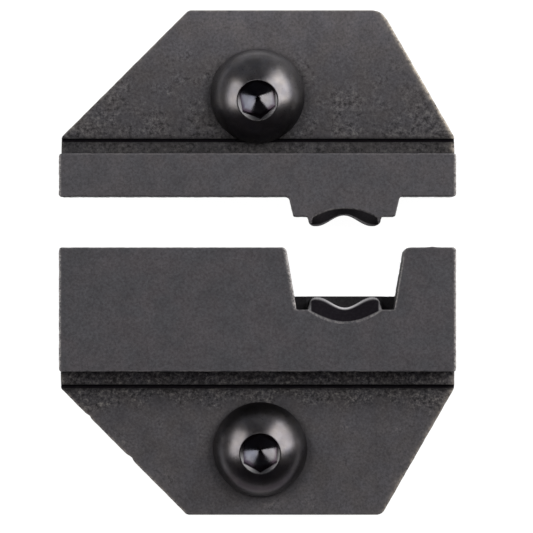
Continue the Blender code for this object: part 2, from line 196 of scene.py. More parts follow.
def surface(name, rows, marks):
    """Closed mesh object from a grid of rows of points, each row a closed loop, with a flat cap
    at either end. marks holds one number for each point under each attribute's name."""
    count_rows, count, _ = rows.shape
    row_starts = np.arange(count_rows - 1)[:, None] * count
    first = (row_starts + np.arange(count)[None, :]).ravel()
    step = (row_starts + (np.arange(count)[None, :] + 1) % count).ravel()
    quads = np.stack([first, step, step + count, first + count], 1).tolist()
    caps = [list(range(count))[::-1], list(range((count_rows - 1) * count, count_rows * count))]
    mesh = bpy.data.meshes.new(name)
    mesh.from_pydata(rows.reshape(-1, 3).tolist(), [], quads + caps)
    for mark, values in marks.items():
        layer = mesh.attributes.new(mark, "FLOAT", "POINT")
        layer.data.foreach_set("value", np.asarray(values, np.float32).ravel())
    work = bmesh.new()
    work.from_mesh(mesh)
    bmesh.ops.recalc_face_normals(work, faces=work.faces)
    work.to_mesh(mesh)
    work.free()
    smooth = np.ones(len(mesh.polygons), bool)
    smooth[len(quads):] = False
    mesh.polygons.foreach_set("use_smooth", smooth)
    mesh.set_sharp_from_angle(angle=crease_angle)
    piece = bpy.data.objects.new(name, mesh)
    bpy.context.scene.collection.objects.link(piece)
    return piece


def rounded_edge():
    """Quarter-round edge in steps from the side to the face: how far in each lies, how far
    under the face, and its wear mark, which is fullest half way round."""
    turn = np.linspace(0, math.pi / 2, 6)
    return (edge_radius * (1 - np.cos(turn)), edge_radius * (1 - np.sin(turn)),
            0.35 + 0.65 * np.sin(2 * turn))


def bar_levels(extra):
    """Sections through a bar as (z, inset, edge mark): a rounded edge and a narrow flat ring,
    marked -1, at the back and the front, and the given levels between them."""
    inset, under, mark = rounded_edge()
    beyond_edge = edge_radius + 0.00012
    back = [(0.0, edge_radius + edge_ring, -1.0)]
    back += list(zip(under[::-1], inset[::-1], mark[::-1])) + [(beyond_edge, 0.0, 0.0)]
    front = [(bar_depth - beyond_edge, 0.0, 0.0)] + list(zip(bar_depth - under, inset, mark))
    front += [(bar_depth, edge_radius + edge_ring, -1.0)]
    return back + [(z, 0.0, 0.0) for z in extra] + front


def make_bar(name, outline_at, extra, face_y, direction, seed, bumps, nest_edge, rubbed_side):
    """Bar as a loft of its outline through the levels, its edges slightly uneven.

    bumps is a list of (x, v, reach, height): swellings of the front edge, each its height times
    exp(-(distance / reach)^2). They and the unevenness fade away from the faces. The outline's
    own marks are how far a point belongs to the nest, how rubbed it is and how much painted
    shade it gets. The edge is finer round the nest, by the factor nest_edge. The mouth's crest
    mark is bare edge painted brighter as a highlight, just inside its start and most in the
    middle, and rubbed_side is how bare it is next to the humps' outer sides.
    """
    fade = 0.0012
    bright_at, bright_reach = 0.06, 0.16
    side_start, side_step = 0.00318, 0.00014
    front_edge = bar_depth - 0.7 * edge_radius
    rows, wear, crest, soot = [], [], [], []
    for z, inset, mark in bar_levels(extra):
        line, in_nest, rubbed, sooty = outline_at(z)
        near_front = math.exp(-(bar_depth - z) / fade)
        near_edge = max(near_front, math.exp(-z / fade))
        uneven = ripple(line, seed, (0.0031, 0.0011, 0.0006), 0.00001 + 0.00005 * near_edge)
        swell = np.zeros(len(line))
        for x, v, reach, height in bumps:
            away = np.hypot(line[:, 0] - x, line[:, 1] - v)
            swell += height * near_front * np.exp(-(away / reach) ** 2)
        near_nest = np.convolve(np.tile(in_nest, 3), np.ones(5) / 5, "same")
        fine = np.maximum(near_nest[len(line):2 * len(line)], in_nest)
        inward = inset * (1 - (1 - nest_edge) * fine) + (uneven - swell) * (1 - fine)
        moved = moved_in(line, inward)
        x_kept = np.clip(moved[:, 0], -bar_half, bar_half)
        rows.append(np.stack([x_kept, face_y + direction * moved[:, 1],
                              np.full(len(line), z)], 1))
        # Crest mark: the mouth's worn edge, painted bright as a highlight.
        edge = min(1.0, 1.5 * max(0.0, 1 - abs(way_out(z) - bright_at) / bright_reach))
        across = line[:, 0] - nest_centre
        shine = 0.50 + 0.50 * np.exp(-(across / hump_offset / 0.55) ** 2)
        side = np.clip((np.abs(across) - side_start) / side_step, 0, 1) * rubbed_side
        lit = in_nest * np.maximum(edge * shine, side if z < front_edge else 0.0)
        on_ring = mark < 0
        crest.append(lit if z >= mouth_start - 1e-6 else 0.0 * lit)
        wear.append(0.0 * rubbed if on_ring else mark * rubbed)
        # Painted shade: this mark darkens the nest and the notch, but not the rings or the front.
        soot.append(0.0 * sooty if on_ring or z > front_edge else sooty)
    return surface(name, np.array(rows), {"wear": wear, "crest": crest, "soot": soot})


def rubbed_end(x):
    """How rubbed a bar's outline is: a little all round, and well at the right end."""
    return 0.12 + 0.6 * np.clip((x - bar_half + 0.0004) / 0.0002, 0, 1)


lower_humps = hump_profile(lower_hump_height, valley=0.00100, radius=0.00066, draft=0.00018)


def lower_outline(z):
    """Outline of the lower bar at depth z: the notch floor steps up to the ledge at the back.

    Its marks: rubbed on the shoulder's edge, the notch's walls, the nest and, most, the notch's
    left mouth, where the rubbing is a painted glint, and painted shade in the nest and down the
    walls, darker deeper in.
    """
    on_ledge = z <= ledge_depth + 1e-9
    floor = ledge_below_face if on_ledge else notch_depth
    top = notch_top_width / 2
    bottom = top - floor * notch_wall_slope
    corners = [
        (-bar_half, lower_bar_height, bar_corner_radius),
        (-bar_half, 0.0, bar_corner_radius),
        (nest_centre - top + left_wall_in, 0.0, 0.00048),
        (nest_centre - bottom + left_wall_in, floor, 0.00014),
        (nest_centre + bottom + right_wall_out, floor, 0.00014),
        (nest_centre + top + right_wall_out, 0.0, 0.00077),
        (bar_half, 0.0, bar_corner_radius),
        (bar_half, lower_bar_height, bar_corner_radius),
    ]
    nest = nest_line(z, floor, lower_humps, half=nest_half_width, rise=0.00128, power=2.1,
                     keep=0.0037)
    if on_ledge:
        nest[:, 1] = floor
    line, in_nest = chain(corners, nest, (40, 70, 26, 0, 26, 24, 40, 130))
    x, v = line.T
    inside = np.abs(x - nest_centre) < top
    on_wall = inside & (v > 0.0004) & (v < notch_depth - 0.0002)
    wall = np.where(on_wall, np.where(x < nest_centre, 0.75, 0.45), 0.0)
    shoulder = np.where(v > lower_bar_height - 0.0001, 0.30, 0.0)
    # Painted glint: the rubbing peaks on the notch's left top corner as a bright spot.
    turn = 0.95 * np.exp(-(np.hypot(x - nest_centre + top, v) / 0.0006) ** 2)
    rubbed = np.maximum.reduce([rubbed_end(x), shoulder, wall, 0.30 * in_nest, turn])
    # Painted shade, darker deeper into the notch, and in the nest.
    sooty = np.where(inside & (in_nest < 0.5), np.clip((v + 0.0010) / 0.0055, 0, 0.70), 0.0)
    wall_share, nest_share = (0.9, 0.3) if z < ledge_depth + 0.00009 else (1.0, 1.0)
    return line, in_nest, rubbed, np.maximum(sooty * wall_share, in_nest * nest_share)


mouth_steps = list(mouth_start + (bar_depth - edge_radius - 0.00014 - mouth_start)
                   * np.linspace(0, 1, 15) ** 1.3)
lower_levels = [0.0010, ledge_depth - 0.00001, ledge_depth, ledge_depth + 0.00008,
                ledge_depth + 0.0001, 0.0045, 0.0068, 0.0084] + mouth_steps
lower_bar = make_bar("lower_bar", lower_outline, lower_levels, lower_face_y, direction=-1.0,
                     seed=11, bumps=[(0.01665, 0.0, 0.00060, 0.00007)], nest_edge=0.6,
                     rubbed_side=0.30)
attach(lower_bar, "lower_half")
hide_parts("lower_die")


def add_node(tree, kind, **settings):
    """Node of a kind. A setting called in_ and an input's name or number is linked or set, and
    any other is a property."""
    node = tree.nodes.new("ShaderNode" + kind)
    for key, value in settings.items():
        if not key.startswith("in_"):
            setattr(node, key, value)
            continue
        label = key[3:]
        socket = node.inputs[int(label) if label.isdigit() else label.replace("_", " ")]
        if isinstance(value, bpy.types.NodeSocket):
            tree.links.new(value, socket)
        else:
            socket.default_value = value
    return node


def maths(tree, operation, *values, **settings):
    """Result of a Math node on its values in their order."""
    inputs = {f"in_{order}": value for order, value in enumerate(values)}
    return add_node(tree, "Math", operation=operation, **inputs, **settings).outputs[0]


def remap(tree, value, from_low, from_high, to_low=0.0, to_high=1.0, **settings):
    """Value carried in proportion from one range to another, and held at that range's ends
    unless clamp is off."""
    return add_node(tree, "MapRange", in_Value=value, in_1=from_low, in_2=from_high,
                    in_3=to_low, in_4=to_high, **settings).outputs[0]


def scaled(tree, colour, factor):
    """Colour times a factor."""
    return add_node(tree, "VectorMath", operation="SCALE", in_0=colour,
                    in_Scale=factor).outputs[0]


def mixed(tree, share, first, second, **settings):
    """Colour that goes from the first to the second with the share. Each of the two is a node's
    output or three numbers."""
    first, second = (colour if isinstance(colour, bpy.types.NodeSocket) else (*colour, 1)
                     for colour in (first, second))
    return add_node(tree, "Mix", data_type="RGBA", in_0=share, in_6=first, in_7=second,
                    **settings).outputs[2]


def between(tree, share, first, second):
    """Number that goes from the first to the second with the share."""
    return add_node(tree, "Mix", data_type="FLOAT", in_0=share, in_2=first,
                    in_3=second).outputs[0]


def mesh_mark(tree, name):
    """One of the marks that the piece's own mesh carries."""
    return add_node(tree, "Attribute", attribute_name=name).outputs["Fac"]


def start_group(name, numbers, results):
    """Shader group with a place and named numbers going in and named results coming out."""
    tree = bpy.data.node_groups.new(name, "ShaderNodeTree")
    face = tree.interface
    face.new_socket(name="Place", in_out="INPUT", socket_type="NodeSocketVector")
    for number, usual in numbers.items():
        socket = face.new_socket(name=number, in_out="INPUT", socket_type="NodeSocketFloat")
        socket.default_value = usual
    for result in results:
        face.new_socket(name=result, in_out="OUTPUT", socket_type="NodeSocketFloat")
    given = tree.nodes.new("NodeGroupInput").outputs
    made = tree.nodes.new("NodeGroupOutput").inputs
    return tree, given, made


def steel_grain_group():
    """Surface of blackened steel: slow mottling and tint, fine grain and speckles, all noise,
    and a height that is the grain and the speckles together."""
    tree, given, made = start_group(
        "blackened_steel_grain",
        {"Mottle size": 0.0022, "Grain size": 0.00016, "Speckle size": 0.00030},
        ("Mottle", "Tint", "Grain", "Speckle", "Height"))
    shifted = add_node(tree, "VectorMath", operation="ADD", in_0=given["Place"],
                       in_1=(0.31, 0.17, 0.05)).outputs[0]
    noises = {}
    for result, place, size, detail, roughness in (
            ("Mottle", given["Place"], "Mottle size", 4.0, 0.6),
            ("Tint", shifted, "Mottle size", 2.0, 0.5),
            ("Grain", given["Place"], "Grain size", 3.0, 0.7),
            ("Speckle", shifted, "Speckle size", 4.0, 0.84)):
        scale = maths(tree, "DIVIDE", 1.0, given[size])
        noises[result] = add_node(tree, "TexNoise", in_Vector=place, in_Scale=scale,
                                  in_Detail=detail, in_Roughness=roughness).outputs[0]
        tree.links.new(noises[result], made[result])
    tree.links.new(maths(tree, "ADD", noises["Grain"], noises["Speckle"]), made["Height"])
    return tree


def edge_wear_group():
    """Bare metal where the black is rubbed off: the edge mark, where a slow and a fast noise
    and the amount together pass a threshold."""
    tree, given, made = start_group("edge_wear", {"Edge": 0.0, "Amount": 0.5}, ("Wear",))
    slow, fast = (add_node(tree, "TexNoise", in_Vector=given["Place"], in_Scale=scale,
                           in_Detail=3.0).outputs[0] for scale in (420.0, 3400.0))
    broken = maths(tree, "MULTIPLY_ADD", fast, 1.2, slow)
    cut = remap(tree, maths(tree, "ADD", given["Amount"], broken), 1.28, 1.73)
    tree.links.new(maths(tree, "MULTIPLY", cut, given["Edge"], use_clamp=True), made["Wear"])
    return tree


steel_grain = steel_grain_group()
edge_wear = edge_wear_group()


def start_material(name, sizes):
    """Material with its tree, its shader, the place on the piece and the steel's grain. The
    sizes are those of the mottling, the grain and the speckles."""
    material = bpy.data.materials.new(name)
    material.use_nodes = True
    tree = material.node_tree
    place = add_node(tree, "TexCoord").outputs["Object"]
    grain = add_node(tree, "Group", node_tree=steel_grain, in_Place=place,
                     in_Mottle_size=sizes[0], in_Grain_size=sizes[1], in_Speckle_size=sizes[2])
    return material, tree, tree.nodes["Principled BSDF"], place, grain.outputs


def rubbed_line(across, along, place, reach, amount, low, high, inward=0.0):
    """Line across x + along y = place as blackened_steel takes it, divided by its run so that
    the distance from it counts metres, and moved inward."""
    run = math.hypot(across, along)
    return across / run, along / run, place / run - inward, reach, amount, low, high


def blackened_steel(name, cool, warm, fleck, bare, sizes, mottle_amount, grain_amount,
                    roughness, wear_amount, bump, front_z, lines=(), head_shadow_axis=None):
    """Blackened steel: a cool and a warm dark tone mottled together, grain, and bare metal on
    the edges. Reads the marks of the mesh: wear; crest, a bare edge painted bright as a
    highlight; painted shade, darkness painted into recesses; grit; and a painted shade level
    by height, where 1 is black and a negative value paints light. Gritty places are darker,
    with pale flecks.

    mottle_amount and grain_amount are how far either changes the brightness, up and down. bare
    is the colour of the rubbed edges and front_z the front face's height. lines is a list of
    (a, b, c, reach, amount, low y, high y): the front face is rubbed along the line
    a x + b y = c, from nothing at the reach to the amount on the line. The last argument is the
    place of a screw's axis, round which the colour is darkened as a painted shadow of its head.
    """
    material, tree, shader, place, grain = start_material(name, sizes)
    base = mixed(tree, remap(tree, grain["Tint"], 0.38, 0.62), cool, warm)
    light = remap(tree, grain["Mottle"], 0.3, 0.7, 1 - mottle_amount, 1 + mottle_amount)
    fine = remap(tree, grain["Grain"], 0.3, 0.7, 1 - grain_amount, 1 + grain_amount, clamp=False)
    toned = scaled(tree, base, maths(tree, "MULTIPLY", light, fine))

    drift = maths(tree, "MULTIPLY_ADD", grain["Mottle"], 2.6, mesh_mark(tree, "grit"))
    gritty = remap(tree, drift, 1.6, 2.35, 0.0, 1.4)
    spots = remap(tree, grain["Speckle"], 0.42, 0.66, -0.46, 0.80, clamp=False)
    spots = maths(tree, "MULTIPLY", spots, gritty)
    pitted = scaled(tree, toned, remap(tree, spots, -0.8, 0.0, 0.30, 1.0))
    spotted = mixed(tree, remap(tree, spots, 0.15, 1.1, 0.0, 0.85), pitted, fleck)
    # Painted shade and light: the level mark darkens the colour, or brightens it where negative.
    left = maths(tree, "SUBTRACT", 1.0, mesh_mark(tree, "painted_shade_level"))
    # Painted shadow of the screw head: darker in a ring round its axis.
    if head_shadow_axis:
        flat = add_node(tree, "VectorMath", operation="MULTIPLY", in_0=place, in_1=(1, 1, 0))
        away = add_node(tree, "VectorMath", operation="DISTANCE", in_0=flat.outputs[0],
                        in_1=(*head_shadow_axis, 0)).outputs["Value"]
        grime = remap(tree, away, 0.0045, 0.0054, 0.72, 1.0, interpolation_type="SMOOTHERSTEP")
        left = maths(tree, "MULTIPLY", left, grime)
    shaded = scaled(tree, spotted, left)

    wear = add_node(tree, "Group", node_tree=edge_wear, in_Place=place,
                    in_Edge=mesh_mark(tree, "wear"), in_Amount=wear_amount).outputs["Wear"]
    worn = mixed(tree, wear, shaded, bare)
    axes = add_node(tree, "SeparateXYZ", in_0=place).outputs
    front = remap(tree, axes["Z"], front_z - 0.00018, front_z - 0.00008)
    patchy = remap(tree, grain["Speckle"], 0.43, 0.58, 0.10, 1.50)
    patchy = maths(tree, "MULTIPLY", patchy, front)
    for along_x, along_y, offset, reach, amount, low, high in lines:
        across = add_node(tree, "VectorMath", operation="DOT_PRODUCT", in_0=place,
                          in_1=(along_x, along_y, 0)).outputs["Value"]
        away = maths(tree, "ABSOLUTE", maths(tree, "SUBTRACT", across, offset))
        shown = maths(tree, "POWER", remap(tree, away, reach, 0.00004), 1.7)
        over = remap(tree, axes["Y"], low, low + 0.0003, 0.0, amount)
        under = remap(tree, axes["Y"], high, high - 0.0003)
        for factor in (over, under, patchy):
            shown = maths(tree, "MULTIPLY", shown, factor)
        worn = mixed(tree, shown, worn, bare)

    # Painted shade: recesses darkened to near black.
    soot = mesh_mark(tree, "soot")
    flaked = remap(tree, grain["Speckle"], 0.46, 0.72, 1.0, 0.90)
    sooty = mixed(tree, maths(tree, "MULTIPLY", soot, flaked), worn, (0.002, 0.001, 0.003))
    # Painted highlight: the crest mark turns the colour pale.
    bright = mixed(tree, mesh_mark(tree, "crest"), sooty, (0.44, 0.435, 0.455))
    tree.links.new(bright, shader.inputs["Base Color"])
    rough = remap(tree, grain["Speckle"], 0.3, 0.7, roughness - 0.08, roughness + 0.08)
    rough = between(tree, wear, rough, 0.42)
    rough = between(tree, soot, rough, 0.85)
    tree.links.new(rough, shader.inputs["Roughness"])
    shader.inputs["Specular IOR Level"].default_value = 0.15
    tree.links.new(remap(tree, wear, 0.0, 1.0, 0.05, 0.45), shader.inputs["Metallic"])
    bumps = add_node(tree, "Bump", in_Strength=bump, in_Distance=0.00003,
                     in_Height=grain["Height"])
    tree.links.new(bumps.outputs[0], shader.inputs["Normal"])
    return material


bar_finish = {"fleck": (0.085, 0.078, 0.080), "sizes": (0.0021, 0.00022, 0.00030),
              "mottle_amount": 0.10, "grain_amount": 0.30, "roughness": 0.52,
              "wear_amount": 0.38, "bump": 0.20, "front_z": bar_depth}
end_line = bar_half - 0.00004
right_end = (1.0, 0.0, end_line, 0.00028, 0.80, -0.03, 0.03)
left_end = (-1.0, 0.0, end_line, 0.00026, 0.75, -0.03, 0.03)
wall_x = nest_centre - notch_top_width / 2
wall_lean = notch_wall_slope * lower_face_y
wall_low = lower_face_y - notch_depth - 0.0001
left_wall = rubbed_line(1.0, notch_wall_slope, wall_x + left_wall_in - 0.00004 + wall_lean,
                        0.00040, 0.80, wall_low, lower_face_y + 0.0001)
right_wall = rubbed_line(1.0, -notch_wall_slope,
                         2 * nest_centre - wall_x + right_wall_out + 0.00002 - wall_lean,
                         0.00022, 0.30, wall_low, lower_face_y - 0.0008)
lower_bar.data.materials.append(blackened_steel(
    "lower_bar_blackened_steel", cool=(0.0535, 0.0530, 0.0590), warm=(0.0580, 0.0545, 0.0600),
    bare=(0.40, 0.385, 0.38), lines=[right_end, left_end, left_wall, right_wall], **bar_finish))

# Lower tang.
# The same block of steel, milled half as thick behind the bar, with two sloping flanks and a
# sawn relief line on both faces next to the shoulder. It is what the tool's jaw holds.
tang_back, tang_front = 0.0025, 0.0075
tang_height = 0.01374
tang_half = bar_half - 0.00012
tang_side = 0.00160
tang_left, tang_right = -0.00666, 0.01193
lower_tang_left = -0.00678
relief_width, relief_depth = 0.00036, 0.00045
screw_hole_radius, hole_chamfer = 0.00265, 0.0003
lower_shoulder_y = lower_face_y - lower_bar_height
lower_screw_x, lower_screw_v = 0.00025, 0.00742


def soft_ramp(t, width):
    """0 below -width, t above width, and a parabola between them, (t + width)^2 / 4 width."""
    return np.where(t < -width, 0.0, np.where(t > width, t, (t + width) ** 2 / (4 * width)))


def flank_slope(sign, end_x):
    """How far a flank comes in for each metre of height, from the side down to the end."""
    return (tang_half - sign * end_x) / (tang_height - tang_side)


def flank(v, end_x, sign, radius):
    """Place across the tang of one flank at height v over the shoulder.

    Straight side, then a straight slope to the end corner, which is rounded by a circle that
    touches the slope and the end: x = centre + sqrt(radius^2 - (v - centre)^2).
    """
    slope = flank_slope(sign, end_x)
    line = tang_half - slope * soft_ramp(v - tang_side, 0.00016)
    turn = math.pi / 2 - math.atan(slope)
    centre_x = sign * end_x - radius * math.tan(turn / 2)
    centre_v = tang_height - radius
    touch = centre_v + radius * math.cos(turn)
    arc = centre_x + np.sqrt(np.maximum(radius ** 2 - (v - centre_v) ** 2, 0))
    return sign * np.where(v > touch, np.minimum(arc, line), line)


def make_tang(name, bar_height, face_y, direction, relief_place, seed, nicks,
              hole_x, hole_v, left_end_x, end_radii, rubbed, painted_shade_levels, grittiness):
    """Tang as a loft along its height: each row is a flat rounded rectangle across it.

    Heights v count from the shoulder. The relief line lies at relief_place, and its depth is
    relief_depth times sqrt(1 - (distance / half its width)^6). nicks is a list of (v, side,
    reach, depth): hollows in the left (-1) or right (+1) flank. The screw's hole is cut at
    hole_x and hole_v, with a wider mouth at the back. left_end_x is where the left flank meets
    the end, and end_radii round the end's two corners.
    rubbed is how bare the left and the right edge are. The next two are lists of (v, amount):
    the first paints shade by height, darker where 1 and lighter where negative; the second is
    the grit, which reaches farther up near the flanks.
    """
    e = edge_radius
    plain_v = np.concatenate([
        [-0.00060, -0.0002, 0.0, 0.0004, 0.0008],
        relief_place + relief_width * np.linspace(-0.75, 0.75, 25),
        np.linspace(tang_side - 0.00001, tang_side + 0.00030, 6),
        np.linspace(tang_side + 0.0005, tang_height - 0.0010, 70),
        tang_height - e - (0.00087 - e) * (1 - np.linspace(0, 1, 18) ** 0.6)])
    plain = np.zeros(len(plain_v))
    edge_inset, edge_under, edge_mark = (part[1:] for part in rounded_edge())
    v = np.concatenate([plain_v, tang_height - edge_under, [tang_height]])[:, None]
    inset = np.concatenate([plain, edge_inset, [e + edge_ring]])[:, None]
    end_mark = np.concatenate([plain, edge_mark, [0.0]])[:, None]

    rng = np.random.default_rng(seed)
    uneven = np.zeros_like(v)
    for wavelength in (0.0034, 0.0015, 0.0008):
        uneven = uneven + np.sin(2 * np.pi * v / wavelength + rng.uniform(0, 6.28))
    unevenness = 0.000022
    fade = np.clip((v - 0.0002) / 0.001, 0, 1)
    left_off = unevenness * (1 + uneven / 3) * fade
    right_off = unevenness * (1 - uneven / 3) * fade
    for place, side, reach, depth in nicks:
        hollow = depth * np.exp(-((v - place) / reach) ** 2)
        left_off = left_off + hollow * (side < 0)
        right_off = right_off + hollow * (side > 0)
    flank_v = np.minimum(v, tang_height - e * 0.2)
    left = flank(flank_v, left_end_x, -1.0, end_radii[0]) + inset + left_off
    right = flank(flank_v, tang_right, 1.0, end_radii[1]) - inset - right_off
    dip = (v - relief_place) / (relief_width / 2)
    groove = relief_depth * np.clip(1 - np.abs(dip) ** 6, 0, 1) ** 0.5
    back = tang_back + groove + inset
    front = tang_front - groove - inset

    near = np.array([0.00010, 0.00022, 0.00045, 0.0009])
    near_wear = np.array([0.9, 0.5, 0.22, 0.06, 0.0])
    middle = np.linspace(0.02, 0.98, 44)[2:-2]
    bend = np.linspace(0, math.pi / 2, 6)[1:-1]
    columns, wear = [], []

    def column(x, z, worn):
        """One line of points up the tang, equally worn."""
        columns.append(np.concatenate([x, z], 1))
        wear.append(np.full_like(x, worn))

    def face_run(z, forward):
        """Columns across a face, closest near its two edges; forward is from left to right."""
        width = right - left - 2 * e
        spots = [left + e] + [left + e + d for d in near] + [left + e + width * m for m in middle]
        spots += [right - e - d for d in near[::-1]] + [right - e]
        worn = np.concatenate([near_wear * rubbed[0], 0 * middle, near_wear[::-1] * rubbed[1]])
        for x, mark in list(zip(spots, worn))[::1 if forward else -1]:
            column(x, z, mark)

    def corner_run(x, z, side, face, from_face):
        """Columns round the quarter circle between a face and a flank."""
        for t in bend if from_face else bend[::-1]:
            column(x - side * e * (1 - math.sin(t)), z - face * e * (1 - math.cos(t)),
                   rubbed[0] if side < 0 else rubbed[1])

    def side_run(x, z_from, z_to):
        """Columns from one face to the other down a flank, a little worn at its edges."""
        for share in (0.0, 0.04, 0.5, 0.96, 1.0):
            column(x, z_from + (z_to - z_from) * share, 0.3 if share in (0.0, 1.0) else 0.05)

    face_run(front, True)
    corner_run(right, front, 1.0, 1.0, True)
    side_run(right, front - e, back + e)
    corner_run(right, back, 1.0, -1.0, False)
    face_run(back, False)
    corner_run(left, back, -1.0, -1.0, True)
    side_run(left, back + e, front - e)
    corner_run(left, front, -1.0, 1.0, False)
    grid = np.stack(columns, 1)
    marks = np.concatenate(wear, 1)
    marks = np.maximum(marks * np.clip((v - 0.0001) / 0.0003, 0, 1), 0.35 * end_mark)
    height = np.repeat(v, grid.shape[1], 1)
    points = np.stack([grid[..., 0], face_y + direction * (bar_height + height), grid[..., 1]], -1)
    # Painted shade in the relief line, darkest at its bottom.
    soot = np.repeat(np.clip(groove / relief_depth, 0, 1), grid.shape[1], 1)
    # Painted shade and light by height over the shoulder.
    painted_shade_level = np.interp(height, *np.transpose(painted_shade_levels))
    grit = np.interp(height, *np.transpose(grittiness))
    from_flank = np.minimum(grid[..., 0] - left, right - grid[..., 0])
    grit = grit + 0.7 * np.clip(1 - from_flank / 0.0040, 0, 1) * np.clip(1 - height / 0.009, 0, 1)
    tang = surface(name, points, {"wear": marks, "soot": soot, "painted_shade_level": painted_shade_level, "grit": grit})

    angles = 2 * np.pi * np.arange(72) / 72
    hole_rows = []
    for radius, z in ((screw_hole_radius + hole_chamfer, 0.0015),
                      (screw_hole_radius + hole_chamfer, tang_back - 0.0001),
                      (screw_hole_radius, tang_back + 0.0002), (screw_hole_radius, 0.0085)):
        hole_rows.append(np.stack([
            hole_x + radius * np.cos(angles),
            face_y + direction * (bar_height + hole_v) + radius * np.sin(angles),
            np.full(len(angles), z)], 1))
    drill = surface(name + "_drill", np.array(hole_rows), {})
    cut = tang.modifiers.new("hole", "BOOLEAN")
    cut.operation = "DIFFERENCE"
    cut.solver = "EXACT"
    cut.object = drill
    graph = bpy.context.evaluated_depsgraph_get()
    solid = bpy.data.meshes.new_from_object(tang.evaluated_get(graph))
    tang.modifiers.clear()
    tang.data = solid
    solid.set_sharp_from_angle(angle=crease_angle)
    bpy.data.objects.remove(drill)
    return tang


def rubbed_flank(shoulder_y, direction, sign, end_x, reach, amount):
    """Rubbed line along one flank's front edge, sign x + slope direction y = its place."""
    slope = flank_slope(sign, end_x)
    ends = sorted((shoulder_y + direction * tang_side, shoulder_y + direction * tang_height))
    return rubbed_line(sign, slope * direction,
                       tang_half + slope * (tang_side + direction * shoulder_y),
                       reach, amount, *ends, inward=0.00004)


lower_tang = make_tang(
    "lower_tang", lower_bar_height, lower_face_y, direction=-1.0, relief_place=0.00142, seed=21,
    nicks=[(0.00425, -1, 0.00016, 0.00014), (0.00822, -1, 0.00022, 0.00018)],
    hole_x=lower_screw_x, hole_v=lower_screw_v, left_end_x=lower_tang_left,
    end_radii=(0.0005, 0.0008), rubbed=(0.22, 0.55),
    # Painted shadow of the bar on the tang beyond the relief line, fading by 4.5 mm.
    painted_shade_levels=[(0.0, -0.08), (0.00105, -0.05), (0.00122, 0.45), (0.00166, 0.50), (0.0020, 0.30),
              (0.0030, 0.20), (0.0045, 0.06), (0.0139, 0.0)],
    grittiness=[(0.0, 1.4), (0.0018, 1.20), (0.0030, 0.70), (0.0042, 0.2), (0.0139, 0.15)])
tang_finish = {"cool": (0.0590, 0.0570, 0.0635), "warm": (0.0618, 0.0578, 0.0612),
               "bare": (0.40, 0.36, 0.31), "mottle_amount": 0.16, "grain_amount": 0.30,
               "roughness": 0.56, "wear_amount": 0.42, "bump": 0.5, "front_z": tang_front}
lower_tang.data.materials.append(blackened_steel(
    "lower_tang_blackened_steel", fleck=(0.195, 0.186, 0.177), sizes=(0.0024, 0.00024, 0.00042),
    lines=[rubbed_flank(lower_shoulder_y, -1, 1, tang_right, 0.00022, 0.15),
           rubbed_flank(lower_shoulder_y, -1, -1, lower_tang_left, 0.00022, 0.25)],
    # Painted shadow round the screw head, centred a little below it.
    head_shadow_axis=(lower_screw_x, lower_shoulder_y - lower_screw_v - 0.0002), **tang_finish))
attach(lower_tang, "lower_half")
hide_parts("lower_die")

# Upper bar.
# The moving half's block: a low bar whose tongue enters the lower notch. The tongue's tip
# carries the same crimp profile, facing down, with a bell mouth at the front.
upper_face_y = 0.00633
upper_bar_height = 0.00412
tongue_height = 0.00195
tongue_play = 0.00036
left_flank_in, right_flank_in = 0.00006, 0.00003
left_proud, right_proud = 0.00004, 0.00002
upper_humps = hump_profile(height=0.00086, valley=0.00103, radius=0.00058, draft=0.00012)


def upper_outline(z):
    """Outline of the upper bar at depth z, with the tongue on the far side of the working face,
    which stands a hair prouder on either side of it. It is rubbed on the shoulder's edge and
    the nest, and the nest gets painted shade."""
    root = notch_top_width / 2 - tongue_play
    tip = root - tongue_height * math.tan(math.radians(13.0))
    corners = [
        (-bar_half, upper_bar_height, bar_corner_radius),
        (-bar_half, -left_proud, bar_corner_radius),
        (nest_centre - root - left_flank_in, -left_proud, 0.00034),
        (nest_centre - tip - left_flank_in, -tongue_height, 0.00022),
        (nest_centre + tip - right_flank_in, -tongue_height, 0.00022),
        (nest_centre + root - right_flank_in, -right_proud, 0.00034),
        (bar_half, -right_proud, bar_corner_radius),
        (bar_half, upper_bar_height, bar_corner_radius),
    ]
    nest = nest_line(z, -tongue_height, upper_humps, half=0.00306, rise=0.00083, power=2.5,
                     keep=0.00318)
    line, in_nest = chain(corners, nest, (16, 70, 14, 0, 14, 24, 16, 130))
    x, v = line.T
    shoulder = np.where(v > upper_bar_height - 0.0001, 0.05, 0.0)
    rubbed = np.maximum.reduce([rubbed_end(x), shoulder, 0.55 * in_nest])
    return line, in_nest, rubbed, 0.70 * in_nest


upper_bar = make_bar("upper_bar", upper_outline, [0.0015, 0.0040, 0.0065, 0.0084] + mouth_steps,
                     upper_face_y, direction=1.0, seed=12,
                     bumps=[(-0.01845, 0.0, 0.00055, 0.00005)], nest_edge=0.30, rubbed_side=0.20)
upper_bar.data.materials.append(blackened_steel(
    "upper_bar_blackened_steel", cool=(0.0580, 0.0570, 0.0635), warm=(0.0625, 0.0590, 0.0640),
    bare=(0.38, 0.365, 0.36), lines=[right_end, left_end], **bar_finish))
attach(upper_bar, "upper_half")
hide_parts("upper_die")

